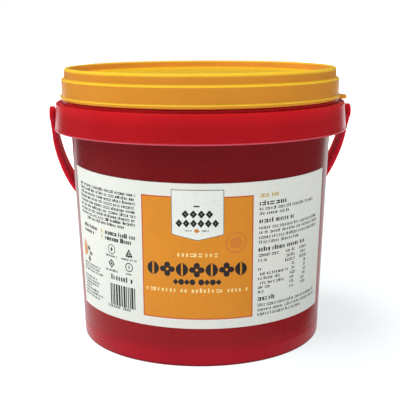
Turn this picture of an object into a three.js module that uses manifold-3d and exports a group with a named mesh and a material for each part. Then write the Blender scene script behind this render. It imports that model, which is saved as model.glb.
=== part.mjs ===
// Round plastic tub of jaggery: a red tapered tub with an overhanging skirt, a yellow snap lid,
// a wrap-round paper label and a red bail handle that hangs behind the tub.
// Millimetres, +Z up. The origin is the middle of the base, the label faces -Y and the handle
// turns about a line along X.

import * as THREE from 'three';
import { mergeVertices } from 'three/addons/utils/BufferGeometryUtils.js';
import Module from 'manifold-3d';

// ---- driving dimensions -------------------------------------------------------------------

const roundSteps = 72; // flats round the tub, the lid and the label
const flatAngle = (2 * Math.PI) / roundSteps;

const baseRadius = 58.35; // wall radius carried down to the floor
const wallTaper = 0.0405; // how much the wall radius grows for each millimetre of height
const footRingInner = 54.4;
const footRingOuter = 57.4;
const baseRecess = 2.6; // how far the base panel sits above the floor
const footBandTop = 6.8; // the slightly fuller band at the foot of the wall
const footBandProud = 0.14;

const skirtBottom = 100.6;
const skirtTop = 113.5;
const skirtBottomRadius = 70.1; // the widest round of the tub
const skirtTopRadius = 69.15;
const skirtWall = 1.4;
const skirtLipHeight = 1.1; // thicker lip along the skirt's lower edge
const skirtLipProud = 0.15;
const webUnderside = 112; // underside of the web that carries the skirt

const neckRadius = 66;
const neckTop = 114.8;
const tubTop = 124.3; // the filled tub's top, just under the lid
const tubTopRadius = 64.4;

const lidBottom = 115.2;
const lidBeadRadius = 67.1;
const lidBeadHeight = 1.75;
const lidBandRadius = 66.3; // lower band, from the bead up to the step
const lidWall = 1.35;
const lidStep = 124.8;
const lidUpperRadius = 65; // upper band, from the step up to the rim
const lidTop = 129.7;
const lidRecessRadius = 62; // inner wall of the recess in the lid's top
const lidFloor = 126;
const lidPlate = 1.4;
const lidRingRadius = 58; // low ring pressed into the recess floor
const lidRingWidth = 1.8;
const lidRingHeight = 0.3;

const tabAzimuth = THREE.MathUtils.degToRad(80); // from -Y towards +X
const tabRootWidth = 13;
const tabTipWidth = 8;
const tabTip = 69.95; // distance of the tab's tip from the axis
const tabThickness = 1.5;
const tabHeight = 114.8; // underside of the tab

const labelMiddle = THREE.MathUtils.degToRad(-3.2); // azimuths from -Y towards +X
const labelLeft = THREE.MathUtils.degToRad(-71.7);
const labelRight = THREE.MathUtils.degToRad(63);
const labelBottom = 18.15; // heights of the two long edges at the label's middle
const labelTop = 83.53;
const labelTilt = -0.56; // the label is stuck on a little askew: rise for each radian
const labelBottomBow = 0.42; // an almost straight strip curves upward on the tapered wall
const labelTopBow = 1.04;
const labelGap = 0.05;
const labelThickness = 0.25;

const pivotHeight = 107.7;
const bailHalfWidth = 71.9; // middle of the strap at the pivots
const bailReach = 96.8; // from the pivot line to the middle of the strap at the grip
const bailRoundness = 2.585; // exponent of the superellipse that the strap follows
const strapEndThickness = 2.1; // thickness of the strap at the pivots
const strapThickness = 3.05; // thickness of the rest of the strap
const thickeningStart = 6; // the strap grows thicker between these distances below the pivots
const thickeningEnd = 22;
const strapEndWidth = 6.2; // width of the strap at the pivots
const strapGripWidth = 8.2; // width of the strap at the grip
const strapEdge = 0.4; // bevel along the strap's edges
const strapSteps = 46;
const hangAngle = THREE.MathUtils.degToRad(41.9); // tilt from straight down towards +Y
const handlePlay = 0.4; // how far the pegs have slid to one side in their holes
const eyeRadius = 3.5;
const eyeInner = 70.5; // faces of the eye, measured from the axis
const eyeOuter = 73;
const pegRadius = 2.2;
const pegHoleRadius = 2.65;
const pegHeadRadius = 3.2;
const pegHeadOuter = 67.1; // faces of the peg's head, measured from the axis
const pegHeadInner = 65.9;
const pegSteps = 28;

// ---- materials ----------------------------------------------------------------------------

const redPlastic = new THREE.MeshStandardMaterial({ color: 0xb01a28, roughness: 0.3, metalness: 0 });
const redHandlePlastic = new THREE.MeshStandardMaterial({ color: 0xbe1a2a, roughness: 0.35, metalness: 0 });
const yellowPlastic = new THREE.MeshStandardMaterial({ color: 0xe6a12e, roughness: 0.32, metalness: 0 });
const labelPaper = new THREE.MeshStandardMaterial({ color: 0xefebe0, roughness: 0.6, metalness: 0 });

// ---- helpers ------------------------------------------------------------------------------

const manifold = await Module();
manifold.setup();

// Wall radius of the tapered tub at a height.
function wallRadius(height) {
  return baseRadius + wallTaper * height;
}

// Turns a profile of [radius, height] pairs about Z.
function turned(profile, steps = roundSteps) {
  const points = profile.map(([radius, height]) => new THREE.Vector2(radius, height));
  return new THREE.LatheGeometry(points, steps).rotateX(Math.PI / 2);
}

// A closed mesh as a manifold solid: positions only, corners merged, no slivers at the axis.
function toSolid(geometry) {
  const bare = geometry.clone();
  bare.deleteAttribute('normal');
  bare.deleteAttribute('uv');
  const merged = mergeVertices(bare, 1e-4);
  const corners = merged.index.array;
  const triVerts = [];
  for (let i = 0; i < corners.length; i += 3) {
    const [a, b, c] = [corners[i], corners[i + 1], corners[i + 2]];
    if (a !== b && b !== c && c !== a) triVerts.push(a, b, c);
  }
  return new manifold.Manifold(new manifold.Mesh({
    numProp: 3,
    vertProperties: new Float32Array(merged.attributes.position.array),
    triVerts: new Uint32Array(triVerts),
  }));
}

// A manifold solid back as a three.js geometry.
function toGeometry(solid) {
  const mesh = solid.getMesh();
  const geometry = new THREE.BufferGeometry();
  geometry.setAttribute('position', new THREE.BufferAttribute(new Float32Array(mesh.vertProperties), 3));
  geometry.setIndex(new THREE.BufferAttribute(new Uint32Array(mesh.triVerts), 1));
  geometry.computeVertexNormals();
  return geometry;
}

function named(name, geometry, material) {
  const mesh = new THREE.Mesh(geometry, material);
  mesh.name = name;
  return mesh;
}

// ---- tub ----------------------------------------------------------------------------------

// Half section of the tub with its contents: foot ring, foot band, wall, skirt, neck and top.
function tubProfile() {
  const lipTop = skirtBottom + skirtLipHeight;
  return [
    [0, baseRecess],
    [footRingInner - 0.9, baseRecess],
    [footRingInner, 0],
    [footRingOuter, 0],
    [footRingOuter + 0.65, 0.18],
    [footRingOuter + 1, 0.7],
    [wallRadius(1.6) + footBandProud, 1.6],
    [wallRadius(footBandTop) + footBandProud, footBandTop],
    [wallRadius(footBandTop + 0.5), footBandTop + 0.5],
    [wallRadius(webUnderside - 1.2), webUnderside - 1.2],
    [wallRadius(webUnderside) + 0.9, webUnderside],
    [skirtTopRadius - skirtWall - 0.5, webUnderside],
    [skirtTopRadius - skirtWall + 0.05, webUnderside - 0.6],
    [skirtBottomRadius - skirtWall, skirtBottom + 0.25],
    [skirtBottomRadius - skirtWall + 0.25, skirtBottom],
    [skirtBottomRadius - 0.25, skirtBottom],
    [skirtBottomRadius, skirtBottom + 0.25],
    [skirtBottomRadius, lipTop - 0.15],
    [skirtBottomRadius - skirtLipProud, lipTop],
    [skirtTopRadius + 0.03, skirtTop - 0.6],
    [skirtTopRadius - 0.17, skirtTop - 0.17],
    [skirtTopRadius - 0.6, skirtTop],
    [neckRadius + 0.2, skirtTop],
    [neckRadius, skirtTop + 0.2],
    [neckRadius, neckTop],
    [tubTopRadius, neckTop],
    [tubTopRadius, tubTop - 0.8],
    [tubTopRadius - 0.8, tubTop],
    [0, tubTop],
  ];
}

// One round hole through the skirt for a handle peg; side is -1 or 1.
function pegHole(side) {
  const hole = new THREE.CylinderGeometry(pegHoleRadius, pegHoleRadius, 6, pegSteps);
  hole.rotateZ(Math.PI / 2);
  hole.translate(side * (skirtTopRadius - 0.1), 0, pivotHeight);
  return toSolid(hole);
}

function makeTub() {
  const body = toSolid(turned(tubProfile()));
  const drilled = body.subtract(pegHole(-1)).subtract(pegHole(1));
  return named('tub', toGeometry(drilled), redPlastic);
}

// ---- lid ----------------------------------------------------------------------------------

// Half section of the lid: plate, snap band, bead, step, rim, recess and the low ring in its floor.
function lidProfile() {
  const plateUnderside = lidFloor - lidPlate;
  const bandInner = lidBandRadius - lidWall;
  const beadTop = lidBottom + lidBeadHeight;
  const ringInner = lidRingRadius - lidRingWidth / 2;
  const ringOuter = lidRingRadius + lidRingWidth / 2;
  return [
    [0, plateUnderside],
    [bandInner - 0.9, plateUnderside],
    [bandInner, plateUnderside - 0.9],
    [bandInner, lidBottom + 0.3],
    [bandInner + 0.3, lidBottom],
    [lidBeadRadius - 0.5, lidBottom],
    [lidBeadRadius - 0.08, lidBottom + 0.4],
    [lidBeadRadius, lidBottom + lidBeadHeight / 2],
    [lidBeadRadius - 0.12, beadTop - 0.4],
    [lidBandRadius + 0.15, beadTop],
    [lidBandRadius + 0.05, beadTop + 0.3],
    [lidBandRadius - 0.05, lidStep - 1],
    [lidBandRadius - 0.35, lidStep - 0.35],
    [lidUpperRadius + 0.2, lidStep],
    [lidUpperRadius, lidStep + 0.25],
    [lidUpperRadius - 0.15, lidTop - 1.2],
    [lidUpperRadius - 0.5, lidTop - 0.4],
    [lidUpperRadius - 1.15, lidTop],
    [lidRecessRadius + 1, lidTop - 0.1],
    [lidRecessRadius + 0.35, lidTop - 0.8],
    [lidRecessRadius, lidFloor + 0.7],
    [lidRecessRadius - 0.7, lidFloor],
    [ringOuter + 0.3, lidFloor],
    [ringOuter, lidFloor + lidRingHeight],
    [ringInner, lidFloor + lidRingHeight],
    [ringInner - 0.3, lidFloor],
    [0, lidFloor],
  ];
}

// The small tongue on the bead that is lifted to open the lid.
function liftTab() {
  const root = neckRadius + 0.4;
  const corner = 1.8;
  const outline = new THREE.Shape();
  outline.moveTo(root, -tabRootWidth / 2);
  outline.lineTo(lidBeadRadius - 0.3, -tabRootWidth / 2);
  outline.lineTo(tabTip - corner, -tabTipWidth / 2 - 0.6);
  outline.quadraticCurveTo(tabTip, -tabTipWidth / 2, tabTip, -tabTipWidth / 2 + corner);
  outline.lineTo(tabTip, tabTipWidth / 2 - corner);
  outline.quadraticCurveTo(tabTip, tabTipWidth / 2, tabTip - corner, tabTipWidth / 2 + 0.6);
  outline.lineTo(lidBeadRadius - 0.3, tabRootWidth / 2);
  outline.lineTo(root, tabRootWidth / 2);
  outline.closePath();
  const tab = new THREE.ExtrudeGeometry(outline, {
    depth: tabThickness,
    bevelEnabled: false,
    curveSegments: 4,
  });
  tab.translate(0, 0, tabHeight);
  tab.rotateZ(tabAzimuth - Math.PI / 2);
  return toSolid(tab);
}

function makeLid() {
  const cap = toSolid(turned(lidProfile()));
  return named('lid', toGeometry(cap.add(liftTab())), yellowPlastic);
}

// ---- label --------------------------------------------------------------------------------

// Radius of the tub's flat-sided wall at an azimuth, for a round radius at the corners.
function flatRadius(radius, azimuth) {
  const withinFlat = azimuth - Math.floor(azimuth / flatAngle) * flatAngle;
  return (radius * Math.cos(flatAngle / 2)) / Math.cos(withinFlat - flatAngle / 2);
}

// Azimuths of the label's corners: its two ends and the tub's own corners between them.
function labelAzimuths() {
  const azimuths = [labelLeft];
  const firstCorner = Math.ceil(labelLeft / flatAngle);
  const lastCorner = Math.floor(labelRight / flatAngle);
  for (let corner = firstCorner; corner <= lastCorner; corner += 1) {
    const azimuth = corner * flatAngle;
    if (azimuth - labelLeft > 1e-6 && labelRight - azimuth > 1e-6) azimuths.push(azimuth);
  }
  azimuths.push(labelRight);
  return azimuths;
}

// Height of one of the label's long edges at an azimuth.
function edgeHeight(middleHeight, bow, azimuth) {
  const turn = azimuth - labelMiddle;
  return middleHeight + labelTilt * turn + bow * turn * turn;
}

// A thin sheet that follows the wall, closed along all its edges.
function makeLabel() {
  const inside = labelGap;
  const outside = labelGap + labelThickness;
  const positions = [];
  const azimuths = labelAzimuths();
  azimuths.forEach((azimuth) => {
    const bottom = edgeHeight(labelBottom, labelBottomBow, azimuth);
    const top = edgeHeight(labelTop, labelTopBow, azimuth);
    [[inside, bottom], [outside, bottom], [outside, top], [inside, top]].forEach(([proud, height]) => {
      const radius = flatRadius(wallRadius(height) + proud, azimuth);
      positions.push(radius * Math.sin(azimuth), -radius * Math.cos(azimuth), height);
    });
  });
  const faces = [0, 1, 2, 0, 2, 3];
  for (let step = 0; step < azimuths.length - 1; step += 1) {
    const here = step * 4;
    const next = here + 4;
    for (let side = 0; side < 4; side += 1) {
      const after = (side + 1) % 4;
      faces.push(here + side, next + side, next + after);
      faces.push(here + side, next + after, here + after);
    }
  }
  const end = (azimuths.length - 1) * 4;
  faces.push(end, end + 2, end + 1, end, end + 3, end + 2);
  const geometry = new THREE.BufferGeometry();
  geometry.setAttribute('position', new THREE.Float32BufferAttribute(positions, 3));
  geometry.setIndex(faces);
  geometry.computeVertexNormals();
  return named('label', geometry, labelPaper);
}

// ---- handle -------------------------------------------------------------------------------

// A point of the strap's middle line, moved outward by an offset; turn runs from 0 to PI.
function bailPoint(turn, offset) {
  const power = 2 / bailRoundness;
  const across = Math.sign(Math.cos(turn)) * Math.abs(Math.cos(turn)) ** power;
  const down = Math.abs(Math.sin(turn)) ** power;
  const normal = new THREE.Vector2(
    (Math.sign(across) * Math.abs(across) ** (bailRoundness - 1)) / bailHalfWidth,
    -(down ** (bailRoundness - 1)) / bailReach,
  ).normalize();
  return new THREE.Vector2(
    bailHalfWidth * across + normal.x * offset,
    -bailReach * down + normal.y * offset,
  );
}

// Turns spaced so that the strap's steps stay even along its length.
function bailTurns() {
  const fine = 2000;
  const lengths = [0];
  let previous = bailPoint(0, 0);
  for (let i = 1; i <= fine; i += 1) {
    const point = bailPoint((i / fine) * Math.PI, 0);
    lengths.push(lengths[i - 1] + point.distanceTo(previous));
    previous = point;
  }
  const turns = [];
  let at = 0;
  for (let step = 0; step <= strapSteps; step += 1) {
    const wanted = (step / strapSteps) * lengths[fine];
    while (at < fine && lengths[at] < wanted) at += 1;
    turns.push((at / fine) * Math.PI);
  }
  return turns;
}

// Half the strap's thickness at a turn: thin beside the skirt, thicker below it.
function halfThickness(turn) {
  const below = -bailPoint(turn, 0).y;
  const grown = THREE.MathUtils.smoothstep(below, thickeningStart, thickeningEnd);
  return THREE.MathUtils.lerp(strapEndThickness, strapThickness, grown) / 2;
}

// The curved strap from pivot to pivot, in the plane of X and the hanging direction. It is cut at
// its grip width and then narrowed towards the pivots.
function strap() {
  const turns = bailTurns();
  const outer = turns.map((turn) => bailPoint(turn, halfThickness(turn)));
  const inner = turns.map((turn) => bailPoint(turn, -halfThickness(turn))).reverse();
  const body = new THREE.ExtrudeGeometry(new THREE.Shape([...outer, ...inner]), {
    depth: strapGripWidth - 2 * strapEdge,
    bevelEnabled: true,
    bevelThickness: strapEdge,
    bevelSize: strapEdge,
    bevelOffset: -strapEdge,
    bevelSegments: 1,
  });
  body.translate(0, 0, -(strapGripWidth / 2 - strapEdge));
  const corners = body.attributes.position;
  for (let i = 0; i < corners.count; i += 1) {
    const reach = THREE.MathUtils.clamp(-corners.getY(i) / bailReach, 0, 1);
    const width = THREE.MathUtils.lerp(strapEndWidth, strapGripWidth, reach);
    corners.setZ(i, (corners.getZ(i) * width) / strapGripWidth);
  }
  body.rotateX(Math.PI / 2);
  return toSolid(body);
}

// Round eye, peg and head at one end of the strap, all on the pivot line; side is -1 or 1.
function pivotButton(side) {
  const button = turned([
    [0, pegHeadInner],
    [pegHeadRadius - 0.7, pegHeadInner],
    [pegHeadRadius, pegHeadInner + 0.7],
    [pegHeadRadius, pegHeadOuter],
    [pegRadius, pegHeadOuter],
    [pegRadius, eyeInner],
    [eyeRadius - 0.3, eyeInner],
    [eyeRadius, eyeInner + 0.3],
    [eyeRadius, eyeOuter - 0.5],
    [eyeRadius - 0.5, eyeOuter],
    [0, eyeOuter],
  ], pegSteps);
  button.rotateY((side * Math.PI) / 2);
  return toSolid(button);
}

function makeHandle() {
  const bail = strap().add(pivotButton(-1)).add(pivotButton(1));
  const handle = named('handle', toGeometry(bail), redHandlePlastic);
  handle.position.set(handlePlay, 0, pivotHeight);
  handle.rotation.x = hangAngle;
  return handle;
}

// ---- the whole ----------------------------------------------------------------------------

const group = new THREE.Group();
group.add(makeTub(), makeLid(), makeLabel(), makeHandle());

export default group;
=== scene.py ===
import math
import random

import bmesh
import bpy
from mathutils import Matrix, Vector


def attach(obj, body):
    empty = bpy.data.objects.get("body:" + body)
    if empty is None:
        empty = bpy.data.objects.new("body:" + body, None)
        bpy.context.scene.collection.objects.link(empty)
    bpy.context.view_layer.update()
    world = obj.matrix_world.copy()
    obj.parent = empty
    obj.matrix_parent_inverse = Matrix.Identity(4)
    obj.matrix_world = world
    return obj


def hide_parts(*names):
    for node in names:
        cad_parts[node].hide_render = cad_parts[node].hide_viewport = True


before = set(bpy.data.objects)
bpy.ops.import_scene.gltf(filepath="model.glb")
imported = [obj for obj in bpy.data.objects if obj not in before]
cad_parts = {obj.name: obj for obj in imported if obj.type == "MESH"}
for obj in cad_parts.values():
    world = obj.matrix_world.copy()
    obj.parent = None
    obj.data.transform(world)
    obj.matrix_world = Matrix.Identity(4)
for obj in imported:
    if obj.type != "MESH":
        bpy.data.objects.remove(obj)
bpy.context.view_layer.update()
print("frame loaded,", len(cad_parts), "CAD pieces")

mm = 0.001
smoothAngle = math.radians(32)   # faces that meet at less than this shade as one surface
refraction = 1.49                # of plastic, paper and ink
noiseSpread = (0.3, 0.7)         # most of a noise lies between these values

# The label is laid out from the line that faces the camera, a little left of the part's front.
facingAngle = math.radians(3.2)

# The wall is a cone: its radius at the floor, and how much wider it gets with each mm up.
wallCone = {"radius": 58.35, "flare": 0.0405}


def wallRadius(height):
    return wallCone["radius"] + wallCone["flare"] * height


# Part of the way from the first of two numbers to the second.
def mixed(pair, share):
    return pair[0] + (pair[1] - pair[0]) * share


def clamped(value):
    return min(max(value, 0), 1)


# Shades a mesh smooth, except at its real edges.
def smoothed(mesh):
    mesh.shade_smooth()
    mesh.set_sharp_from_angle(angle=smoothAngle)


# Puts a mesh that is given in mm in the scene.
def newPiece(name, vertices, faces, finish):
    mesh = bpy.data.meshes.new(name)
    mesh.from_pydata([Vector(v) * mm for v in vertices], [], faces)
    mesh.validate()
    piece = bpy.data.objects.new(name, mesh)
    bpy.context.scene.collection.objects.link(piece)
    mesh.materials.append(finish)
    smoothed(mesh)
    return piece


# Rounds the corners of an outline. A corner is (a, b) or (a, b, reach of the rounding).
def rounded(corners, steps=6, closed=False):
    furthest = 0.49   # share of a side that a rounding can take
    path = []
    last = len(corners) - 1
    for i, corner in enumerate(corners):
        here = Vector(corner[:2])
        reach = corner[2] if len(corner) > 2 else 0
        if not reach or (not closed and i in (0, last)):
            path.append(here)
            continue
        back = Vector(corners[i - 1][:2]) - here
        ahead = Vector(corners[(i + 1) % len(corners)][:2]) - here
        start = here + back.normalized() * min(reach, back.length * furthest)
        end = here + ahead.normalized() * min(reach, ahead.length * furthest)
        for s in range(steps + 1):
            t = s / steps
            path.append(start * (1 - t) ** 2 + here * 2 * t * (1 - t) + end * t * t)
    return path


# Turns an outline of (radius, height) about Z. It starts and ends on the axis.
def turned(outline, steps):
    vertices, faces, rings = [], [], []
    for radius, height in outline:
        if not radius:
            rings.append([len(vertices)])
            vertices.append((0, 0, height))
            continue
        rings.append(list(range(len(vertices), len(vertices) + steps)))
        for s in range(steps):
            turn = 2 * math.pi * s / steps
            vertices.append((radius * math.sin(turn), -radius * math.cos(turn), height))
    for low, high in zip(rings, rings[1:]):
        for s in range(steps):
            after = (s + 1) % steps
            if len(low) == 1:
                faces.append((low[0], high[after], high[s]))
            elif len(high) == 1:
                faces.append((low[s], low[after], high[0]))
            else:
                faces.append((low[s], low[after], high[after], high[s]))
    return vertices, faces


# Adds one closed shell to lists of vertices and faces.
def addShell(vertices, faces, shell, place=None):
    first = len(vertices)
    more, moreFaces = shell
    vertices.extend(tuple(place @ Vector(v)) if place else tuple(v) for v in more)
    faces.extend(tuple(first + c for c in face) for face in moreFaces)


# Cuts another piece out of this one, or joins it on, and removes the other.
def combine(piece, other, how):
    change = piece.modifiers.new(how, "BOOLEAN")
    change.operation = how
    change.solver = "EXACT"
    change.object = other
    bpy.context.view_layer.update()
    ready = piece.evaluated_get(bpy.context.evaluated_depsgraph_get())
    mesh = bpy.data.meshes.new_from_object(ready)
    piece.modifiers.clear()
    piece.data = mesh
    smoothed(mesh)
    bpy.data.objects.remove(other)


def link(tree, source, target):
    tree.links.new(source, target)


def addNode(tree, kind, **values):
    node = tree.nodes.new(kind)
    for key, value in values.items():
        setattr(node, key, value)
    return node


# A bare shader with the settings that are the same all over.
def newFinish(name, s):
    finish = bpy.data.materials.new(name)
    finish.use_nodes = True
    tree = finish.node_tree
    shader = tree.nodes["Principled BSDF"]
    shader.inputs["Roughness"].default_value = s["roughness"]
    shader.inputs["Specular IOR Level"].default_value = s["specular"]
    shader.inputs["IOR"].default_value = refraction
    return finish, tree, shader


# A place in the piece's own space, stretched and then moved.
def ownPlace(tree, stretch=(1, 1, 1), move=(0, 0, 0)):
    place = addNode(tree, "ShaderNodeTexCoord")
    changed = addNode(tree, "ShaderNodeMapping")
    changed.inputs["Scale"].default_value = stretch
    changed.inputs["Location"].default_value = move
    link(tree, place.outputs["Object"], changed.inputs["Vector"])
    return changed.outputs["Vector"]


def heightUp(tree):
    parts = addNode(tree, "ShaderNodeSeparateXYZ")
    link(tree, ownPlace(tree), parts.inputs["Vector"])
    return parts.outputs["Z"]


def length(tree, vector):
    measure = addNode(tree, "ShaderNodeVectorMath", operation="LENGTH")
    link(tree, vector, measure.inputs[0])
    return measure.outputs["Value"]


# Noise in the piece's own space, with features of a size in mm.
def noise(tree, size, detail, stretch=(1, 1, 1)):
    cloud = addNode(tree, "ShaderNodeTexNoise")
    cloud.inputs["Scale"].default_value = 1 / (size * mm)
    cloud.inputs["Detail"].default_value = detail
    link(tree, ownPlace(tree, stretch), cloud.inputs["Vector"])
    return cloud.outputs["Fac"]


# A value moved from one range to another.
def ranged(tree, source, low, high, fromLow=noiseSpread[0], fromHigh=noiseSpread[1]):
    change = addNode(tree, "ShaderNodeMapRange")
    change.inputs["From Min"].default_value = fromLow
    change.inputs["From Max"].default_value = fromHigh
    change.inputs["To Min"].default_value = low
    change.inputs["To Max"].default_value = high
    link(tree, source, change.inputs["Value"])
    return change.outputs["Result"]


# Colour by a value: stops are (value, colour).
def ramp(tree, source, stops):
    band = addNode(tree, "ShaderNodeValToRGB")
    band.color_ramp.elements.remove(band.color_ramp.elements[1])
    for i, (value, colour) in enumerate(stops):
        stop = band.color_ramp.elements[0] if i == 0 else band.color_ramp.elements.new(value)
        stop.position = value
        stop.color = (*colour, 1)
    link(tree, source, band.inputs["Fac"])
    return band.outputs["Color"]


# A colour that drifts to another one with a noise.
def drifting(tree, source, colour, other, spread=noiseSpread):
    return ramp(tree, source, [(spread[0], colour), (spread[1], other)])


# Colour by a distance. A layer is a colour's name and the stretch in mm where it is pure.
# Between two layers their colours blend.
def layered(tree, source, layers, colours):
    begin, end = layers[0][1], layers[-1][2]
    stops = []
    for name, *stretch in layers:
        stops += [((distance - begin) / (end - begin), colours[name]) for distance in stretch]
    return ramp(tree, ranged(tree, source, 0, 1, begin * mm, end * mm), stops)


# The same layers, all moved along by some mm.
def shifted(layers, by):
    return [(name, low + by, high + by) for name, low, high in layers]


# Makes a colour the base colour, a little darker and lighter with a noise.
def painted(tree, shader, colour, source, tone):
    mix = addNode(tree, "ShaderNodeMix", data_type="RGBA", blend_type="MULTIPLY")
    mix.inputs["Factor"].default_value = 1
    link(tree, colour, mix.inputs["A"])
    link(tree, ranged(tree, source, *tone), mix.inputs["B"])
    link(tree, mix.outputs["Result"], shader.inputs["Base Color"])


# Roughness that strays from its setting with a noise.
def uneven(tree, shader, source, roughness, spread):
    gloss = ranged(tree, source, roughness + spread[0], roughness + spread[1])
    link(tree, gloss, shader.inputs["Roughness"])


# Small bumps. A height is its source, its strength and its depth in mm.
def bumped(tree, shader, heights):
    normal = None
    for source, strength, depth in heights:
        bump = addNode(tree, "ShaderNodeBump")
        bump.inputs["Strength"].default_value = strength
        bump.inputs["Distance"].default_value = depth * mm
        link(tree, source, bump.inputs["Height"])
        if normal:
            link(tree, normal, bump.inputs["Normal"])
        normal = bump.outputs["Normal"]
    link(tree, normal, shader.inputs["Normal"])


# What all the moulded plastic shares.
mouldSettings = {
    "grainDetail": 3,
    "grainBump": (0.05, 0.006),     # strength and depth
    "waveDetail": 1,
    "glossSpread": (-0.03, 0.05),   # how far the roughness strays
}


# Fine grain in the gloss and the surface, and the slow waves of a moulded wall.
def mouldedSurface(tree, shader, s):
    shared = mouldSettings
    grain = noise(tree, s["grain"], shared["grainDetail"])
    uneven(tree, shader, grain, s["roughness"], shared["glossSpread"])
    waves = noise(tree, s["wave"], shared["waveDetail"])
    bumped(tree, shader, [(waves, *s["waveBump"]), (grain, *shared["grainBump"])])


tubSettings = {
    "steps": 288,
    "footRing": (54.4, 58.45),
    "baseRecess": 2.6,
    "recessSlope": 0.9,
    "footBandTop": 6.8,
    "footBandProud": 0.14,
    "footBandSlope": 1.2,
    "web": 112,
    "skirtBottom": 100.6,
    "skirtTop": 113.5,
    "skirtRadius": (70.1, 69.15),            # at the bottom and at the top
    "skirtInside": (68.7, 67.73),            # at the bottom and at the web
    "lip": (0.15, 1.0),                      # how far it stands out, and its height
    "neckRadius": 66.0,
    "neckTop": 114.8,
    "plugRadius": 64.4,                      # the part that the lid hides
    "top": 124.3,
    "pivotHeight": 107.7,
    "pegHole": 2.65,
    "pegHoleSteps": 48,
    "pegCutter": (65.2, 72.0),               # from inside the skirt's wall to outside it
    "colours": {
        "corner": (0.129, 0.0021, 0.0054),   # painted contact shadow: a dark line round the bottom of the foot
        "foot": (0.43, 0.007, 0.018),
        "low": (0.31, 0.0095, 0.014),        # wall below and behind the label
        "wall": (0.18, 0.0055, 0.008),       # wall under the skirt: darker for the dark contents behind it, and with painted shade from the skirt
        "lip": (0.75, 0.13, 0.18),           # painted highlight along the skirt's thin bottom edge
        "skirt": (0.41, 0.0065, 0.011),
        # painted highlight: the skirt grows lighter towards its top
        "skirtTop": (0.55, 0.010, 0.015),
    },
    # Up from the floor: the painted contact shadow, the foot, the low wall, and the wall under the
    # skirt with its painted shade.
    "wallLayers": [("corner", 0, 0.6), ("foot", 1.1, 5.5), ("low", 11, 30), ("wall", 80, 100.5)],
    # Up from the skirt's bottom: the lip's painted highlight, the skirt, and the painted highlight
    # towards the skirt's top.
    "skirtLayers": [("lip", 0, 0.3), ("skirt", 0.6, 6.9), ("skirtTop", 12.4, 23.7)],
    "cloud": (26, 3, (1, 1, 0.5)),           # size, detail and stretch
    "tone": (0.93, 1.05),
    "grain": 0.7,
    "wave": 34,
    "waveBump": (0.3, 0.3),
    "roughness": 0.26,
    "specular": 0.09,
}


def tubOutline(s):
    ringInner, ringOuter = s["footRing"]
    band, slope = s["footBandTop"], s["footBandSlope"]
    bottom, top = s["skirtBottom"], s["skirtTop"]
    wide, narrow = s["skirtRadius"]
    wideInside, narrowInside = s["skirtInside"]
    lipProud, lipHeight = s["lip"]
    return rounded([
        (0, s["baseRecess"]),
        (ringInner - s["recessSlope"], s["baseRecess"], 0.6),
        (ringInner, 0, 0.5),
        (ringOuter, 0, 0.9),
        (wallRadius(band) + s["footBandProud"], band, 1.2),
        (wallRadius(band + slope), band + slope, 1.2),
        (wallRadius(s["web"]), s["web"], 1.2),
        (narrowInside, s["web"], 0.6),
        (wideInside, bottom, 0.25),
        (wide, bottom, 0.35),
        (wide, bottom + lipHeight, 0.15),
        (wide - lipProud, bottom + lipHeight + lipProud, 0.15),
        (narrow, top, 0.6),
        (s["neckRadius"], top, 0.2),
        (s["neckRadius"], s["neckTop"], 0.1),
        (s["plugRadius"], s["neckTop"], 0.1),
        (s["plugRadius"], s["top"], 0.8),
        (0, s["top"]),
    ])


# Colour by height, with painted shade at the foot's corner and under the skirt, and painted highlights
# on the lip and towards the skirt's top.
def tubFinish(s):
    finish, tree, shader = newFinish("tubPlastic", s)
    layers = s["wallLayers"] + shifted(s["skirtLayers"], s["skirtBottom"])
    colour = layered(tree, heightUp(tree), layers, s["colours"])
    painted(tree, shader, colour, noise(tree, *s["cloud"]), s["tone"])
    mouldedSurface(tree, shader, s)
    return finish


# Cuts through the skirt only: the cutter is two short drums, one each side.
def cutPegHoles(tub, s):
    hole = s["pegHole"]
    inner, outer = s["pegCutter"]
    place = Matrix.Translation((0, 0, s["pivotHeight"])) @ Matrix.Rotation(math.pi / 2, 4, "Y")
    shell, shellFaces = [], []
    for low, high in ((-outer, -inner), (inner, outer)):
        drum = turned([(0, low), (hole, low), (hole, high), (0, high)], s["pegHoleSteps"])
        addShell(shell, shellFaces, drum, place)
    combine(tub, newPiece("pegCutter", shell, shellFaces, tub.data.materials[0]), "DIFFERENCE")


vertices, faces = turned(tubOutline(tubSettings), tubSettings["steps"])
tub = newPiece("tub_shell", vertices, faces, tubFinish(tubSettings))
cutPegHoles(tub, tubSettings)
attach(tub, "tub")
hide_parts("tub")
print("tub made")


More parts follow.
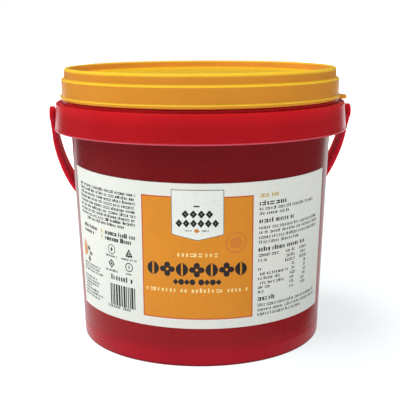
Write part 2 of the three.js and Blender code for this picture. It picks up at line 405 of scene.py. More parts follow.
lidSettings = {
    "steps": 288,
    "bottom": 115.2,
    "insideRadius": 64.95,
    "beadRadius": 67.1,
    "beadHeight": 1.75,
    "bandRadius": (66.4, 66.3),           # at the bead and at the step
    "step": 124.8,
    "upperRadius": (65.02, 64.82),        # at the step and at the top
    "top": 129.7,
    "recessRadius": (62.6, 62.0),         # at the top and at the floor
    "floor": 126.0,
    "floorThickness": 1.4,
    "ring": (57.1, 58.9),                 # low ring in the floor
    "ringRise": 0.3,
    "ringSlope": 0.3,
    "colours": {
        "band": (0.64, 0.245, 0.024),
        "bead": (0.70, 0.285, 0.027),
        # painted highlight: the plastic's yellow, made lighter along the bead's top, the step and the
        # rim
        "edge": (0.88, 0.54, 0.034),
        "floor": (0.83, 0.495, 0.007),
        "fillet": (0.85, 0.44, 0.022),    # where the recess's wall meets the floor
        "recessWallShade": (0.82, 0.345, 0.045),   # painted shade on the recess's wall
    },
    # Up from the bottom: the bead, the bands, and painted highlights on the bead's top, the step and
    # the rim.
    "bandLayers": [("bead", 0, 1.1), ("edge", 1.35, 1.65), ("band", 2.1, 8.6),
                   ("edge", 9.0, 9.75), ("band", 10.25, 12.85), ("edge", 13.55, 15.5)],
    # Out from the foot of the recess's wall: the floor, the fillet, the wall's painted shade and the
    # rim's painted highlight.
    "recessLayers": [("floor", -3, -1.6), ("fillet", -1, -0.4),
                     ("recessWallShade", 0.2, 0.46), ("edge", 0.58, 1)],
    "recessEnd": (0.7, 1.1),              # where the recess's colours give way to the bands'
    "cloud": (22, 2),                     # size and detail
    "tone": (0.95, 1.04),
    "grain": 0.8,
    "wave": 30,
    "waveBump": (0.3, 0.25),
    "roughness": 0.28,
    "specular": 0.12,
}
tabSettings = {
    "azimuth": 80,
    "root": 66.4,
    "rootReach": 0.01,        # corners this near the root stay where they are
    "shoulder": 66.9,
    "tip": 69.95,
    "rootWidth": 13.0,
    "tipWidth": 8.0,
    "rounding": (0.6, 1.8),   # at the shoulder and at the tip
    "underside": 114.8,
    "thickness": 1.5,
    "edge": 0.25,
    "edgeMiddle": 0.3,        # share of the edge where its bevel bends
}


def lidOutline(s):
    bottom, step, top, floor = s["bottom"], s["step"], s["top"], s["floor"]
    bead, beadTop = s["beadRadius"], s["bottom"] + s["beadHeight"]
    inside, underFloor = s["insideRadius"], s["floor"] - s["floorThickness"]
    bandLow, bandHigh = s["bandRadius"]
    upperLow, upperHigh = s["upperRadius"]
    recessHigh, recessLow = s["recessRadius"]
    ringInner, ringOuter = s["ring"]
    return rounded([
        (0, underFloor),
        (inside, underFloor, 0.9),
        (inside, bottom, 0.3),
        (bead, bottom, 0.7),
        (bead, beadTop, 0.6),
        (bandLow, beadTop, 0.12),
        (bandHigh, step, 0.8),
        (upperLow, step, 0.18),
        (upperHigh, top, 1.2),
        (recessHigh, top, 0.9),
        (recessLow, floor, 0.8),
        (ringOuter + s["ringSlope"], floor, 0.1),
        (ringOuter, floor + s["ringRise"], 0.1),
        (ringInner, floor + s["ringRise"], 0.1),
        (ringInner - s["ringSlope"], floor, 0.1),
        (0, floor),
    ])


# The lift tab: a rounded tongue, its edges softened above and below.
def tabShell(s):
    root, shoulder, tip = s["root"], s["shoulder"], s["tip"]
    half, tipHalf = s["rootWidth"] / 2, s["tipWidth"] / 2
    shoulderRound, tipRound = s["rounding"]
    outline = rounded([
        (root, -half), (shoulder, -half, shoulderRound), (tip, -tipHalf, tipRound),
        (tip, tipHalf, tipRound), (shoulder, half, shoulderRound), (root, half),
    ], steps=8)
    thick, edge = s["thickness"], s["edge"]
    mid = edge * s["edgeMiddle"]
    levels = [(0, edge), (mid, mid), (edge, 0), (thick - edge, 0), (thick - mid, mid), (thick, edge)]
    middle = Vector((root, 0))
    turn = Matrix.Rotation(math.radians(s["azimuth"] - 90), 4, "Z")
    vertices = []
    for up, pull in levels:
        for point in outline:
            spot = point.copy()
            if point.x > root + s["rootReach"]:
                spot += (middle - point).normalized() * pull
            vertices.append(tuple(turn @ Vector((spot.x, spot.y, s["underside"] + up))))
    count = len(outline)
    faces = [tuple(reversed(range(count)))]
    for level in range(len(levels) - 1):
        low = level * count
        for i in range(count):
            after = (i + 1) % count
            faces.append((low + i, low + after, low + count + after, low + count + i))
    faces.append(tuple(range((len(levels) - 1) * count, len(levels) * count)))
    return vertices, faces


# The thin bands let the red behind them show through, and the floor stays yellow. The bead's top, the
# step and the rim are lighter yellow as painted highlights, and the recess's wall has painted shade.
def lidFinish(s):
    finish, tree, shader = newFinish("lidPlastic", s)
    bands = layered(tree, heightUp(tree), shifted(s["bandLayers"], s["bottom"]), s["colours"])
    out = length(tree, ownPlace(tree, (1, 1, 0)))
    wall = s["recessRadius"][1]
    recess = layered(tree, out, shifted(s["recessLayers"], wall), s["colours"])
    begin, end = s["recessEnd"]
    inRecess = ranged(tree, out, 1, 0, (wall + begin) * mm, (wall + end) * mm)
    colour = addNode(tree, "ShaderNodeMix", data_type="RGBA")
    link(tree, inRecess, colour.inputs["Factor"])
    link(tree, bands, colour.inputs["A"])
    link(tree, recess, colour.inputs["B"])
    painted(tree, shader, colour.outputs["Result"], noise(tree, *s["cloud"]), s["tone"])
    mouldedSurface(tree, shader, s)
    return finish


vertices, faces = turned(lidOutline(lidSettings), lidSettings["steps"])
addShell(vertices, faces, tabShell(tabSettings))
lid = newPiece("lid_shell", vertices, faces, lidFinish(lidSettings))
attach(lid, "tub")
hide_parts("lid")
print("lid made")


labelSettings = {
    "bottom": 18.15,
    "top": 83.53,
    "left": (-70.9, -73.5),               # distance along the wall at the bottom and at the top
    "right": (69.3, 70.3),
    "span": 75,                           # the tilt and the bow are given for this distance along
    "tilt": -0.7,                         # the label is stuck on a little askew
    # A straight strip curves upward on a cone: by this at the floor, and more with each mm up.
    "bow": (0.4, 0.0148),
    "gap": 0.05,
    "thickness": 0.25,
    "columns": 180,
    "rows": 10,
    "colour": (0.81, 0.80, 0.735),
    "coolShare": (0.965, 0.985, 0.985),   # of each colour, where the paper is cooler
    "coolSpread": (0.35, 0.65),
    "wash": (30, 2),                      # size and detail
    "fibre": (1.4, 4),
    "fibreTone": (0.97, 1.02),
    "fibreBump": (0.15, 0.03),
    "wave": (24, 1, (1, 1, 0.4)),         # size, detail and stretch
    "waveBump": (0.25, 0.3),
    "roughness": 0.5,
    "glossSpread": (-0.05, 0.06),
    "specular": 0.4,
}


# A place on the label: along is the distance round the wall from the facing line, in mm.
def onWall(along, height, proud):
    far = along / labelSettings["span"]
    base, climb = labelSettings["bow"]
    up = height + labelSettings["tilt"] * far + (base + climb * height) * far * far
    angle = along / wallRadius(up) - facingAngle
    radius = wallRadius(up) + proud
    return (radius * math.sin(angle), -radius * math.cos(angle), up)


def labelShell(s):
    columns, rows = s["columns"], s["rows"]
    vertices, faces = [], []
    for proud in (s["gap"], s["gap"] + s["thickness"]):
        for row in range(rows + 1):
            up = row / rows
            height = mixed((s["bottom"], s["top"]), up)
            left, right = mixed(s["left"], up), mixed(s["right"], up)
            for column in range(columns + 1):
                vertices.append(onWall(left + (right - left) * column / columns, height, proud))
    wide = columns + 1
    front = wide * (rows + 1)
    for row in range(rows):
        for column in range(columns):
            a = row * wide + column
            faces.append((a, a + wide, a + wide + 1, a + 1))
            faces.append((front + a, front + a + 1, front + a + wide + 1, front + a + wide))
    edge = list(range(wide))
    edge += [row * wide + columns for row in range(1, rows + 1)]
    edge += [rows * wide + column for column in range(columns - 1, -1, -1)]
    edge += [row * wide for row in range(rows - 1, 0, -1)]
    for here, after in zip(edge, edge[1:] + edge[:1]):
        faces.append((here, after, front + after, front + here))
    return vertices, faces


def paperFinish(s):
    finish, tree, shader = newFinish("labelPaper", s)
    fibre = noise(tree, *s["fibre"])
    cool = tuple(c * share for c, share in zip(s["colour"], s["coolShare"]))
    colour = drifting(tree, noise(tree, *s["wash"]), s["colour"], cool, s["coolSpread"])
    painted(tree, shader, colour, fibre, s["fibreTone"])
    uneven(tree, shader, fibre, s["roughness"], s["glossSpread"])
    bumped(tree, shader, [(noise(tree, *s["wave"]), *s["waveBump"]), (fibre, *s["fibreBump"])])
    return finish


label = newPiece("label_sheet", *labelShell(labelSettings), paperFinish(labelSettings))
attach(label, "tub")
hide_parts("label")
print("label made")


inkSettings = {
    "layer": 0.02,     # how much each coat of ink stands out
    "sunk": 0.02,      # how far ink goes into the paper
    "strip": 3.0,      # widest stretch that lies flat round the wall
    "wash": (17, 2),   # size and detail
    "washRise": 1.06,
    "speck": (0.9, 3),
    "speckTone": (0.94, 1.05),
    "speckBump": (0.1, 0.02),
    "roughness": 0.46,
    "glossSpread": (-0.04, 0.06),
    "specular": 0.35,
}
inkColours = {
    "orange": (0.725, 0.250, 0.006),
    "tan": (0.62, 0.27, 0.10),
    "umber": (0.12, 0.075, 0.045),
    "rust": (0.58, 0.105, 0.025),
    "white": (0.80, 0.805, 0.755),
    "outline": (0.17, 0.17, 0.14),
    "black": (0.016, 0.017, 0.020),
    "brown": (0.024, 0.015, 0.014),
    "grey": (0.038, 0.040, 0.037),
    "paleGrey": (0.055, 0.058, 0.054),
    "cream": (0.93, 0.72, 0.31),
    "seal": (0.66, 0.195, 0.018),
    "gold": (0.58, 0.41, 0.11),
}


# The finish of an ink, made when it is first used.
def inkFinish(ink, s):
    name = "ink" + ink[0].upper() + ink[1:]
    if name in bpy.data.materials:
        return bpy.data.materials[name]
    finish, tree, shader = newFinish(name, s)
    colour = inkColours[ink]
    brighter = tuple(min(c * s["washRise"], 1) for c in colour)
    speck = noise(tree, *s["speck"])
    body = drifting(tree, noise(tree, *s["wash"]), colour, brighter)
    painted(tree, shader, body, speck, s["speckTone"])
    uneven(tree, shader, speck, s["roughness"], s["glossSpread"])
    bumped(tree, shader, [(speck, *s["speckBump"])])
    return finish


# A flat mesh of outlines of (along, height), cut into strips that are narrow enough to bend.
def flatSheet(shapes, strip):
    flat = bmesh.new()
    for outline in shapes:
        flat.faces.new([flat.verts.new((along, 0, height)) for along, height in outline])
    low = min(v.co.x for v in flat.verts)
    high = max(v.co.x for v in flat.verts)
    cut = math.floor(low / strip) + 1
    while cut * strip < high:
        everything = flat.verts[:] + flat.edges[:] + flat.faces[:]
        bmesh.ops.bisect_plane(flat, geom=everything, plane_co=(cut * strip, 0, 0), plane_no=(1, 0, 0))
        cut += 1
    flat.verts.ensure_lookup_table()
    flat.verts.index_update()
    return flat


# Makes flat outlines into thin closed plates of ink that follow the wall.
def inkPiece(name, shapes, coat, ink):
    flat = flatSheet(shapes, inkSettings["strip"])
    paper = labelSettings["gap"] + labelSettings["thickness"]
    bottom, top = paper - inkSettings["sunk"], paper + coat * inkSettings["layer"]
    spots = [v.co.copy() for v in flat.verts]
    count = len(spots)
    vertices = [onWall(s.x, s.z, proud) for proud in (bottom, top) for s in spots]
    faces = []
    for face in flat.faces:
        ring = [v.index for v in face.verts]
        corners = [spots[i] for i in ring]
        area = sum(a.x * b.z - b.x * a.z for a, b in zip(corners, corners[1:] + corners[:1]))
        if area < 0:
            ring.reverse()
        faces.append(tuple(reversed(ring)))
        faces.append(tuple(count + i for i in ring))
        for here, after in zip(ring, ring[1:] + ring[:1]):
            edge = flat.edges.get((flat.verts[here], flat.verts[after]))
            if edge is not None and len(edge.link_faces) == 1:
                faces.append((here, after, count + after, count + here))
    flat.free()
    piece = newPiece(name, vertices, faces, inkFinish(ink, inkSettings))
    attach(piece, "tub")


def block(left, right, low, high):
    return [(left, low), (right, low), (right, high), (left, high)]


# A polygon with its corners on a circle, or on an oval where tall is given.
def roundel(along, height, across, tall=None, points=24):
    tall = across if tall is None else tall
    spots = [2 * math.pi * i / points for i in range(points)]
    return [(along + across * math.cos(a), height + tall * math.sin(a)) for a in spots]


def lozenge(along, height, across, tall):
    return roundel(along, height, across, tall, points=4)


# The space between an outer and an inner outline with the same number of corners.
def between(outer, inner):
    shapes = []
    for i in range(len(outer)):
        after = (i + 1) % len(outer)
        shapes.append([outer[i], outer[after], inner[after], inner[i]])
    return shapes


# A round ring.
def hoop(along, height, outer, inner, points=24):
    return between(*(roundel(along, height, across, points=points) for across in (outer, inner)))


# Sizes are shares of half the pitch of a frieze, or of an ornament's own size.
ornamentSettings = {
    "lozenge": 1.05,
    "openLozenge": 0.94,
    "flower": 1.04,
    "petals": 4,
    "petalSteps": 8,
    "petalRoundness": 0.8,
    "eye": 0.2,
    "leaf": 0.84,
    "leafSplit": 0.13,
    "leafSteps": 8,
    "leafRoundness": 0.7,
}


# A flower with a round eye: the petals swell out of a ring.
def flower(along, height, across, tall, s):
    points = s["petals"] * s["petalSteps"]
    outer, inner = [], []
    for i in range(points):
        turn = 2 * math.pi * i / points
        swell = 0.5 + 0.5 * abs(math.cos(s["petals"] * turn / 2)) ** s["petalRoundness"]
        for outline, size in ((outer, swell), (inner, s["eye"])):
            out, up = size * math.cos(turn), size * math.sin(turn)
            outline.append((along + across * out, height + tall * up))
    return between(outer, inner)


# A leaf that stands upright, split down the middle.
def splitLeaf(along, height, across, tall, split, s):
    sliver = 1e-3   # keeps the tips from closing to nothing
    shapes = []
    for side in (-1, 1):
        for step in range(s["leafSteps"]):
            low, high = (2 * end / s["leafSteps"] - 1 for end in (step, step + 1))
            rim = [across * (1 - v * v) ** s["leafRoundness"] for v in (low, high)]
            core = [min(split, r) for r in rim]
            spread = [(core[0], low), (rim[0] + sliver, low), (rim[1] + sliver, high), (core[1], high)]
            shapes.append([(along + side * out, height + tall * up) for out, up in spread])
    return shapes


# A row of plain ornaments, one for each kind in the list.
def frieze(left, right, low, high, kinds):
    s = ornamentSettings
    shapes = []
    across = (right - left) / len(kinds) / 2
    middle, tall = (low + high) / 2, (high - low) / 2
    for i, kind in enumerate(kinds):
        at = left + across * (2 * i + 1)
        if kind == "disc":
            shapes.append(roundel(at, middle, across, tall))
        elif kind == "lozenge":
            shapes.append(lozenge(at, middle, across * s["lozenge"], tall))
        elif kind == "flower":
            shapes += flower(at, middle, across * s["flower"], tall * s["flower"], s)
        elif kind == "leaf":
            shapes += splitLeaf(at, middle, across * s["leaf"], tall, across * s["leafSplit"], s)
    return shapes


# A row of lozenges with lozenge holes.
def openFrieze(left, right, low, high, count, inset):
    shapes = []
    pitch = (right - left) / count
    across = pitch / 2 * ornamentSettings["openLozenge"]
    middle, tall = (low + high) / 2, (high - low) / 2
    for i in range(count):
        at = left + pitch * (i + 0.5)
        hole = lozenge(at, middle, across - inset, tall - inset)
        shapes += between(lozenge(at, middle, across, tall), hole)
    return shapes


# Sizes are shares of the advance from dash to dash, or of the height of the body.
dashSettings = {
    "word": (2, 8),     # fewest and most dashes
    "space": 0.75,
    "widthSpread": (0.75, 1.25),
    "advanceSpread": (0.9, 1.1),
    "pairWidth": 0.95,
    "barHeight": 0.32,
    "tallHeight": 1.32,
    "tallFrom": 0.85,   # a draw above this gives a tall dash
}


# Short blocks that stand where small print would be: upright ones, and pairs of bars that lie flat.
# A row is its two ends and its height. Weight is an upright block's width as a share of the advance,
# and paired is the share of bars.
def dashes(rows, advance, body, seed, weight=0.55, paired=0.4):
    s = dashSettings
    pick = random.Random(seed)
    shapes = []
    for left, right, height in rows:
        at, low = left, height - body / 2
        word = pick.randint(*s["word"])
        while at < right - advance / 2:
            kind = pick.random()
            wide = s["pairWidth"] if kind < paired else weight * pick.uniform(*s["widthSpread"])
            end = min(at + advance * wide, right)
            if kind < paired:
                shapes.append(block(at, end, low, low + body * s["barHeight"]))
                shapes.append(block(at, end, low + body * (1 - s["barHeight"]), low + body))
            else:
                tall = s["tallHeight"] if kind > s["tallFrom"] else 1
                shapes.append(block(at, end, low, low + body * tall))
            word -= 1
            at += advance * pick.uniform(*s["advanceSpread"])
            if word == 0:
                at += advance * s["space"]
                word = pick.randint(*s["word"])
    return shapes


# Groups are the values that dashes takes, for one kind of row after another.
def dashGroups(groups):
    return [shape for group in groups for shape in dashes(*group)]


panel = {
    "ends": (-26.4, 23.1, 22.45, 77.8),   # left, right, low and high
    "border": 0.62,
}
pennant = {
    "left": -12.45,
    "right": 9.55,
    "high": 80.55,
    "shoulder": 61.3,
    "point": (-1.45, 58.8),
    "line": 0.3,
    "shoulderGrowth": 0.6,   # shares of the line that keep it even round the corners
    "pointGrowth": 1.05,
}


def pennantOutline(p, grow):
    left, right, high = p["left"] - grow, p["right"] + grow, p["high"] + grow
    shoulder = p["shoulder"] - grow * p["shoulderGrowth"]
    along, point = p["point"]
    return [(left, high), (left, shoulder), (along, point - grow * p["pointGrowth"]),
            (right, shoulder), (right, high)]


def printPanel(p):
    left, right, low, high = p["ends"]
    edge = p["border"]
    inkPiece("panel_border", [block(*p["ends"])], 1, "rust")
    inkPiece("panel_field", [block(left + edge, right - edge, low + edge, high - edge)], 2, "orange")
    inkPiece("pennant_outline", [pennantOutline(pennant, pennant["line"])], 3, "outline")
    inkPiece("pennant_field", [pennantOutline(pennant, 0)], 4, "white")


# A frieze is its left, right, low and high ends and what stands in it. A lone shape is its middle,
# its half width and its half height.
frontPrint = {
    "openFriezes": [(-8.4, 5.3, 68.4, 72.0, 4, 1.44), (-11.0, 7.8, 64.3, 67.95, 6, 1.38)],
    "mark": (-1.85, 62.85, 1.3, 1.05),
    "smallRows": ([(-6.9, -3.8, 62.9), (0.3, 3.6, 62.9)], 0.62, 0.55, 3),
    "flourish": (-1.9, 73.7, 1.5, 0.35, 12),
    "title": (-24.5, 20.7, 42.15, 48.5, ["leaf", "flower", "leaf", "flower", "leaf", "flower", "leaf"]),
    "beads": [
        (-12.4, -2.6, 38.4, 41.1, ["lozenge", "disc", "lozenge", "disc"]),
        (-1.3, 8.8, 38.4, 41.1, ["disc", "lozenge", "disc", "lozenge"]),
    ],
    "paleRows": [
        ([(-10.2, 7.0, 52.0)], 1.83, 1.6, 5, 0.45, 0.15),
        ([(-24.5, 21.9, 35.7)], 1.75, 1.5, 6, 0.45, 0.15),
    ],
    "seal": (15.2, 57.3),
    "sealRing": (4.8, 4.1, 40),   # outer and inner radius, and points
    "sealDisc": (2.7, 2.7, 32),
}


def printFront(p):
    openRows = [shape for row in p["openFriezes"] for shape in openFrieze(*row)]
    beads = [shape for row in p["beads"] for shape in frieze(*row)]
    seal = hoop(*p["seal"], *p["sealRing"]) + [roundel(*p["seal"], *p["sealDisc"])]
    inkPiece("pennant_rows", openRows, 5, "black")
    inkPiece("pennant_mark", [lozenge(*p["mark"])], 5, "seal")
    inkPiece("pennant_dashes", dashes(*p["smallRows"]) + [roundel(*p["flourish"])], 5, "grey")
    inkPiece("front_frieze", frieze(*p["title"]), 3, "brown")
    inkPiece("front_beads", beads, 3, "brown")
    inkPiece("front_pale_rows", dashGroups(p["paleRows"]), 3, "cream")
    inkPiece("front_seal", seal, 3, "seal")


# Rows of one width, from the top down.
def evenRows(left, right, top, pitch, count):
    return [(left, right, top - pitch * i) for i in range(count)]


# Each piece of small print is its ink and its groups of rows.
leftPrint = {
    "left_text": ("grey", [
        (evenRows(-68.2, -29.3, 76.6, 1.905, 8) + [(-62.3, -35.7, 61.4)], 0.98, 1.05, 21, 0.70),
    ]),
    "left_small_text": ("paleGrey", [
        ([(-68.2, -52.6, 38.85), (-68.2, -53.4, 37.4), (-68.2, -50.5, 35.95), (-68.1, -55.8, 32.7),
          (-68.1, -53.2, 31.15), (-68.1, -54.5, 29.7), (-68.1, -61.2, 28.3), (-68.1, -54.2, 26.9),
          (-68.1, -51.0, 25.35), (-68.1, -53.7, 23.7)], 0.72, 0.80, 22, 0.74),
    ]),
    "left_captions": ("grey", [
        ([(-47.2, -40.3, 46.95), (-37.7, -29.1, 46.95), (-48.1, -39.9, 40.2), (-35.2, -31.8, 40.2)],
         0.74, 0.8, 23, 0.7),
        ([(-47.0, -32.5, 23.25)], 1.2, 1.1, 27, 0.6, 0.1),
    ]),
    "left_heads": ("black", [
        ([(-47.6, -29.4, 57.35), (-47.7, -31.4, 54.8)], 1.1, 1.55, 24, 0.68, 0.15),
        ([(-65.9, -52.8, 57.4), (-65.5, -55.9, 55.0)], 1.1, 1.3, 25, 0.66, 0.15),
        ([(-44.4, -31.9, 37.05)], 1.5, 1.9, 26, 0.55, 0.1),
    ]),
}
rightPrint = {
    "right_text": ("grey", [
        # Paragraphs.
        ([(26.0, 60.2, 71.25), (26.0, 41.9, 69.15), (25.9, 64.9, 62.75), (25.9, 64.5, 60.65),
          (25.9, 64.4, 58.4), (25.9, 48.8, 56.25), (25.6, 64.1, 27.2), (25.6, 64.4, 25.05),
          (25.6, 51.5, 22.95)], 1.0, 1.05, 31, 0.5),
        # The table's first column.
        ([(25.7, 31.2, 48.0), (25.6, 28.2, 44.0), (26.6, 42.3, 41.7), (25.7, 37.4, 39.65),
          (26.6, 39.6, 37.45), (25.5, 31.7, 35.55), (25.5, 28.7, 33.5)], 1.0, 1.05, 32, 0.5),
        # Its second and third columns.
        ([(41.1, 46.5, 48.1), (40.3, 46.8, 46.0), (44.5, 46.5, 43.9), (44.6, 46.6, 41.75),
          (43.6, 46.7, 39.65), (43.4, 46.8, 37.5), (43.3, 46.7, 35.5), (43.4, 46.3, 33.35),
          (50.7, 54.8, 48.1), (49.7, 55.2, 45.95), (53.1, 54.7, 43.85), (53.1, 54.9, 41.65),
          (53.3, 55.1, 39.6), (52.9, 55.0, 37.55), (51.2, 54.9, 35.65), (51.5, 54.7, 33.6)],
         0.95, 1.15, 33, 0.5),
    ]),
    "right_heads": ("black", [
        ([(26.0, 40.2, 73.6), (25.9, 45.4, 65.75), (25.7, 53.2, 52.95), (25.5, 35.1, 30.2)],
         1.25, 1.55, 34, 0.58, 0.12),
        ([(25.9, 36.7, 50.35), (40.6, 46.6, 50.3), (49.7, 54.8, 50.3)], 1.0, 1.1, 35),
    ]),
    "right_lead": ("gold", [([(26.1, 36.6, 77.2)], 1.3, 1.5, 36, 0.6, 0.12)]),
}


def printRows(pieces):
    for name, (ink, groups) in pieces.items():
        inkPiece(name, dashGroups(groups), 1, ink)


# A lone shape is its middle, its half width and its half height. A hoop has two radiuses instead.
markPrint = {
    "ticks": [(-50.1, 57.5, 0.6, 1.2), (-50.0, 54.9, 0.6, 1.2)],
    "ring": (-43.6, 50.15, 2.3, 1.95),
    "ringEye": (-43.6, 50.15, 0.8, 1.2),
    "dial": (-33.5, 43.55, 2.1, 1.65),
    "dialHand": (-33.5, 43.6, 0.35, 1.1),
    "drop": ((-43.9, 43.5, 2.0, 2.1), (-43.9, 43.5, 1.2, 1.3)),   # outer and inner lozenge
    "dropEye": (-43.9, 43.5, 0.6),
    "dots": [(-34.6, 48.75), (-33.4, 48.55), (-32.2, 48.75),
             (-34.1, 49.85), (-32.7, 49.85), (-33.4, 51.05)],
    "dotRadius": 0.62,
    "dotPoints": 10,
    "leaf": [(-67.4, 41.8), (-63.7, 43.4), (-64.0, 47.4), (-66.2, 50.6), (-68.0, 46.6)],
    "chips": [(-62.3, 46.4, 1.5, 1.4), (-60.4, 44.3, 1.5, 1.2), (-62.1, 41.4, 1.4, 1.8)],
}
barPrint = {
    "left": -45.1,
    "right": -30.6,
    "last": -31.0,   # no bar starts past this
    "low": 24.05,
    "high": 34.1,
    "widths": (0.5, 0.75, 1.1),
    "gaps": (0.35, 0.5, 0.6),
    "seed": 41,
}


def bars(b):
    pick = random.Random(b["seed"])
    shapes, at = [], b["left"]
    while at < b["last"]:
        wide = pick.choice(b["widths"])
        shapes.append(block(at, min(at + wide, b["right"]), b["low"], b["high"]))
        at += wide + pick.choice(b["gaps"])
    return shapes


def printMarks(p):
    points = p["dotPoints"]
    outerDrop, innerDrop = p["drop"]
    marks = hoop(*p["ring"]) + [lozenge(*p["ringEye"])]
    marks += hoop(*p["dial"]) + [lozenge(*p["dialHand"])]
    marks += between(lozenge(*outerDrop), lozenge(*innerDrop)) + [roundel(*p["dropEye"], points=points)]
    marks += [roundel(*dot, p["dotRadius"], points=points) for dot in p["dots"]]
    inkPiece("left_marks", marks, 1, "grey")
    inkPiece("left_bars", bars(barPrint), 1, "black")
    inkPiece("left_leaf", [p["leaf"]], 1, "tan")
    inkPiece("left_chips", [lozenge(*chip) for chip in p["chips"]], 1, "umber")


printPanel(panel)
printFront(frontPrint)
printRows(leftPrint)
inkPiece("left_ticks", [lozenge(*tick) for tick in markPrint["ticks"]], 1, "gold")
printRows(rightPrint)
printMarks(markPrint)
print("print made")


handleSettings = {
    "halfWidth": 71.88,
    "reach": 96.8,
    "roundness": 2.585,              # 2 gives half an oval, more gives squarer shoulders
    "thickness": (2.1, 3.05),        # at the pivots and along the rest
    "thickening": (6.0, 22.0),       # where the strap grows thicker, down from the pivots
    "width": (6.2, 8.2),             # at the pivots and at the grip
    "edge": 0.35,
    "edgeSteps": 4,
    "hang": 41.9,                    # degrees back from straight down
    "play": 0.4,                     # the pegs have slid this far to the right in their holes
    "pivotHeight": 107.7,
    "steps": 200,
    "measuringSteps": 4000,
    "pivotSteps": 64,
    "eye": (3.5, 70.5, 73.0),        # radius, and its inner and outer faces
    "peg": 2.2,
    "head": (3.2, 65.9, 67.1),
    "colour": (0.27, 0.013, 0.026),
    "cloud": (18, 2),                # size and detail
    "cloudRise": 1.12,
    "grain": 0.7,
    "wave": 20,
    "waveBump": (0.25, 0.2),
    "roughness": 0.32,
    "specular": 0.0015,
    "glow": 1.0,                     # share of the light that passes into the plastic
    "glowDepth": 20.0,
    "glowShares": (1.0, 0.1, 0.1),   # red goes the whole depth, green and blue only part of it
}


# A point of the strap's middle line, moved outward by an offset, as (across, down).
def strapPoint(s, turn, offset):
    power = 2 / s["roundness"]
    across = math.copysign(abs(math.cos(turn)) ** power, math.cos(turn))
    down = max(math.sin(turn), 0) ** power
    bend = s["roundness"] - 1
    outward = math.copysign(abs(across) ** bend, across) / s["halfWidth"]
    normal = Vector((outward, down ** bend / s["reach"]))
    normal.normalize()
    return Vector((s["halfWidth"] * across, s["reach"] * down)) + normal * offset


# Turns spaced evenly along the strap.
def strapTurns(s):
    fine = s["measuringSteps"]
    lengths, previous = [0], strapPoint(s, 0, 0)
    for i in range(1, fine + 1):
        point = strapPoint(s, math.pi * i / fine, 0)
        lengths.append(lengths[-1] + (point - previous).length)
        previous = point
    turns, at = [], 0
    for step in range(s["steps"] + 1):
        while at < fine and lengths[at] < lengths[-1] * step / s["steps"]:
            at += 1
        turns.append(math.pi * at / fine)
    return turns


# The strap's outline across, as (outward, sideways), some mm down from the pivots.
def strapSection(s, down):
    begin, end = s["thickening"]
    grown = clamped((down - begin) / (end - begin))
    eased = grown * grown * (3 - 2 * grown)
    half = mixed(s["thickness"], eased) / 2
    side = mixed(s["width"], clamped(down / s["reach"])) / 2
    edge = s["edge"]
    corners = [(-half, -side, edge), (half, -side, edge), (half, side, edge), (-half, side, edge)]
    return rounded(corners, s["edgeSteps"], closed=True)


def strapShell(s):
    turns = strapTurns(s)
    vertices, faces = [], []
    for turn in turns:
        for offset, side in strapSection(s, strapPoint(s, turn, 0).y):
            spot = strapPoint(s, turn, offset)
            vertices.append((spot.x, side, -spot.y))
    last = len(turns) - 1
    count = len(vertices) // len(turns)
    faces.append(tuple(range(count)))
    for step in range(last):
        for i in range(count):
            here, after = step * count + i, step * count + (i + 1) % count
            faces.append((here, here + count, after + count, after))
    faces.append(tuple(reversed(range(last * count, len(vertices)))))
    return vertices, faces


# Eye, peg and head at one end of the strap, turned about the pivot line.
def pivotShell(s, side):
    peg = s["peg"]
    headRadius, headInner, headOuter = s["head"]
    eyeRadius, eyeInner, eyeOuter = s["eye"]
    outline = rounded([
        (0, headInner),
        (headRadius, headInner, 0.5),
        (headRadius, headOuter, 0.15),
        (peg, headOuter, 0.1),
        (peg, eyeInner, 0.15),
        (eyeRadius, eyeInner, 0.3),
        (eyeRadius, eyeOuter, 0.5),
        (0, eyeOuter),
    ], s["edgeSteps"])
    vertices, faces = turned(outline, s["pivotSteps"])
    place = Matrix.Rotation(side * math.pi / 2, 4, "Y")
    return [tuple(place @ Vector(v)) for v in vertices], faces


def handleFinish(s):
    finish, tree, shader = newFinish("handlePlastic", s)
    shader.inputs["Subsurface Weight"].default_value = s["glow"]
    shader.inputs["Subsurface Radius"].default_value = s["glowShares"]
    shader.inputs["Subsurface Scale"].default_value = s["glowDepth"] * mm
    brighter = tuple(c * s["cloudRise"] for c in s["colour"])
    colour = drifting(tree, noise(tree, *s["cloud"]), s["colour"], brighter)
    link(tree, colour, shader.inputs["Base Color"])
    mouldedSurface(tree, shader, s)
    return finish


# The strap is drawn straight down from the pivots, then swung back to where it hangs.
def makeHandle(s):
    swing = Matrix.Rotation(math.radians(s["hang"]), 4, "X")
    hang = Matrix.Translation((s["play"], 0, s["pivotHeight"])) @ swing
    finish = handleFinish(s)
    vertices, faces = [], []
    addShell(vertices, faces, strapShell(s), hang)
    handle = newPiece("handle_strap", vertices, faces, finish)
    for side in (-1, 1):
        vertices, faces = [], []
        addShell(vertices, faces, pivotShell(s, side), hang)
        combine(handle, newPiece("pivot", vertices, faces, finish), "UNION")
    return handle


handle = makeHandle(handleSettings)
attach(handle, "handle")
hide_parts("handle")
print("handle made")


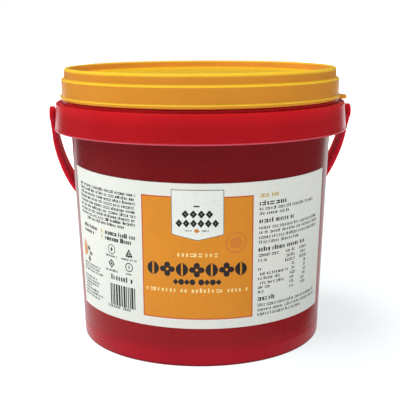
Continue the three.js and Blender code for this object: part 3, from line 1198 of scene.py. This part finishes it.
# Sizes are in metres, unless a note says mm.
floorSettings = {
    "half": 3.0,
    # Corners of the pale sheet, from its front left. No other part of the floor shows in reflections.
    "sheet": [(-0.28, -0.16), (0.03, -0.16), (0.062, -0.03), (0.12, 0.05), (0.32, 0.27), (1.4, 1.9),
              (-1.35, 1.9), (-0.22, 0.27), (-0.32, 0.05)],
    "farDrop": 0.3,                    # the rest of the floor lies this much lower, in mm
    "colour": (0.16, 0.17, 0.175),
    "roughness": 0.7,
    "specular": 0.1,
    "glowColour": (0.95, 0.995, 1),
    "paintedShadowPlace": (66.0, 8.0, 0),        # middle of a patch of painted shadow beside the tub, where the floor glows less, in mm
    "paintedShadowStretch": (1.35, 0.85, 1.0),
    "glow": (0.75, 0.955, 1.9),        # in that patch, round it and far from it
    "glowReach": (0.02, 0.08, 0.70),   # where the patch ends, where the middle begins and where it ends
}


# Pale paint that glows, less so in the patch beside the tub: a painted shadow of the tub.
def floorFinish(s):
    finish, tree, shader = newFinish("floorPaint", s)
    shader.inputs["Base Color"].default_value = (*s["colour"], 1)
    shader.inputs["Emission Color"].default_value = (*s["glowColour"], 1)
    stretch = s["paintedShadowStretch"]
    move = [-c * mm * more for c, more in zip(s["paintedShadowPlace"], stretch)]
    away = length(tree, ownPlace(tree, stretch, move))
    dim, near, far = s["glow"]
    close, middle, end = s["glowReach"]
    total = addNode(tree, "ShaderNodeMath", operation="ADD")
    link(tree, ranged(tree, away, dim, near, close, middle), total.inputs[0])
    link(tree, ranged(tree, away, 0, far - near, middle, end), total.inputs[1])
    link(tree, total.outputs["Value"], shader.inputs["Emission Strength"])
    return finish


# A pale sheet, on a floor that glows the same but shows in no reflection.
def makeFloor(s):
    finish = floorFinish(s)
    half = s["half"]
    square = [(-half, -half), (half, -half), (half, half), (-half, half)]
    for name, outline, height in (("floor_sheet", s["sheet"], 0), ("floor_far", square, -s["farDrop"])):
        corners = [(x / mm, y / mm, height) for x, y in outline]
        floor = newPiece(name, corners, [tuple(range(len(corners)))], finish)
        floor.visible_glossy = name == "floor_sheet"


# Places and sizes are in metres.
studio = {
    "surround": (0.12, 0.29),   # in reflections, and as soft light from all round
    "aim": (0, 0, 0.06),
    "soft": ("left", "top"),    # lamps that make no highlights
    "lamps": {                  # place, size and power
        "key": ((-0.52, -0.56, 0.95), 0.7, 4.4),
        "left": ((-0.85, 0.35, 0.40), 0.7, 1.6),
        "top": ((0.0, 0.0, 1.15), 0.7, 8.4),
    },
}


# White behind the tub for the camera, dim for everything else.
def makeWorld(s):
    world = bpy.data.worlds.new("studio")
    bpy.context.scene.world = world
    world.use_nodes = True
    tree = world.node_tree
    sky = tree.nodes["Background"]
    path = addNode(tree, "ShaderNodeLightPath")
    around = addNode(tree, "ShaderNodeMath", operation="MAXIMUM")
    link(tree, ranged(tree, path.outputs["Is Diffuse Ray"], *s["surround"], 0, 1), around.inputs[0])
    link(tree, path.outputs["Is Camera Ray"], around.inputs[1])
    link(tree, around.outputs["Value"], sky.inputs["Strength"])
    sky.inputs["Color"].default_value = (1, 1, 1, 1)


def makeLights(s):
    for name, (place, size, power) in s["lamps"].items():
        lamp = bpy.data.lights.new(name, "AREA")
        lamp.size = size
        lamp.energy = power
        holder = bpy.data.objects.new(name, lamp)
        holder.location = place
        holder.rotation_euler = (Vector(s["aim"]) - Vector(place)).to_track_quat("-Z", "Y").to_euler()
        holder.visible_camera = False
        holder.visible_glossy = name not in s["soft"]
        bpy.context.scene.collection.objects.link(holder)


cameraSettings = {
    "distance": 418.3,   # from the tub's axis, in mm
    "sideways": -0.38,
    "height": 149.6,
    "pitch": 11.58,
    "roll": -0.28,
    "focalPixels": 859.7,
    "framePixels": 400,
    "sensorWidth": 36,
    "nearest": 0.01,     # in metres
}


def makeCamera(s):
    lens = bpy.data.cameras.new("camera")
    lens.sensor_width = s["sensorWidth"]
    lens.lens = s["sensorWidth"] * s["focalPixels"] / s["framePixels"]
    lens.clip_start = s["nearest"]
    eye = bpy.data.objects.new("camera", lens)
    heading = Matrix.Rotation(-facingAngle, 4, "Z")
    place = heading @ Vector((s["sideways"], -s["distance"], s["height"])) * mm
    tilt = Matrix.Rotation(math.radians(90 - s["pitch"]), 4, "X")
    roll = Matrix.Rotation(math.radians(s["roll"]), 4, "Z")
    eye.matrix_world = Matrix.Translation(place) @ heading @ tilt @ roll
    bpy.context.scene.collection.objects.link(eye)
    bpy.context.scene.camera = eye


makeFloor(floorSettings)
makeWorld(studio)
makeLights(studio)
makeCamera(cameraSettings)
bpy.context.scene.view_settings.view_transform = "Standard"
print("surroundings made")
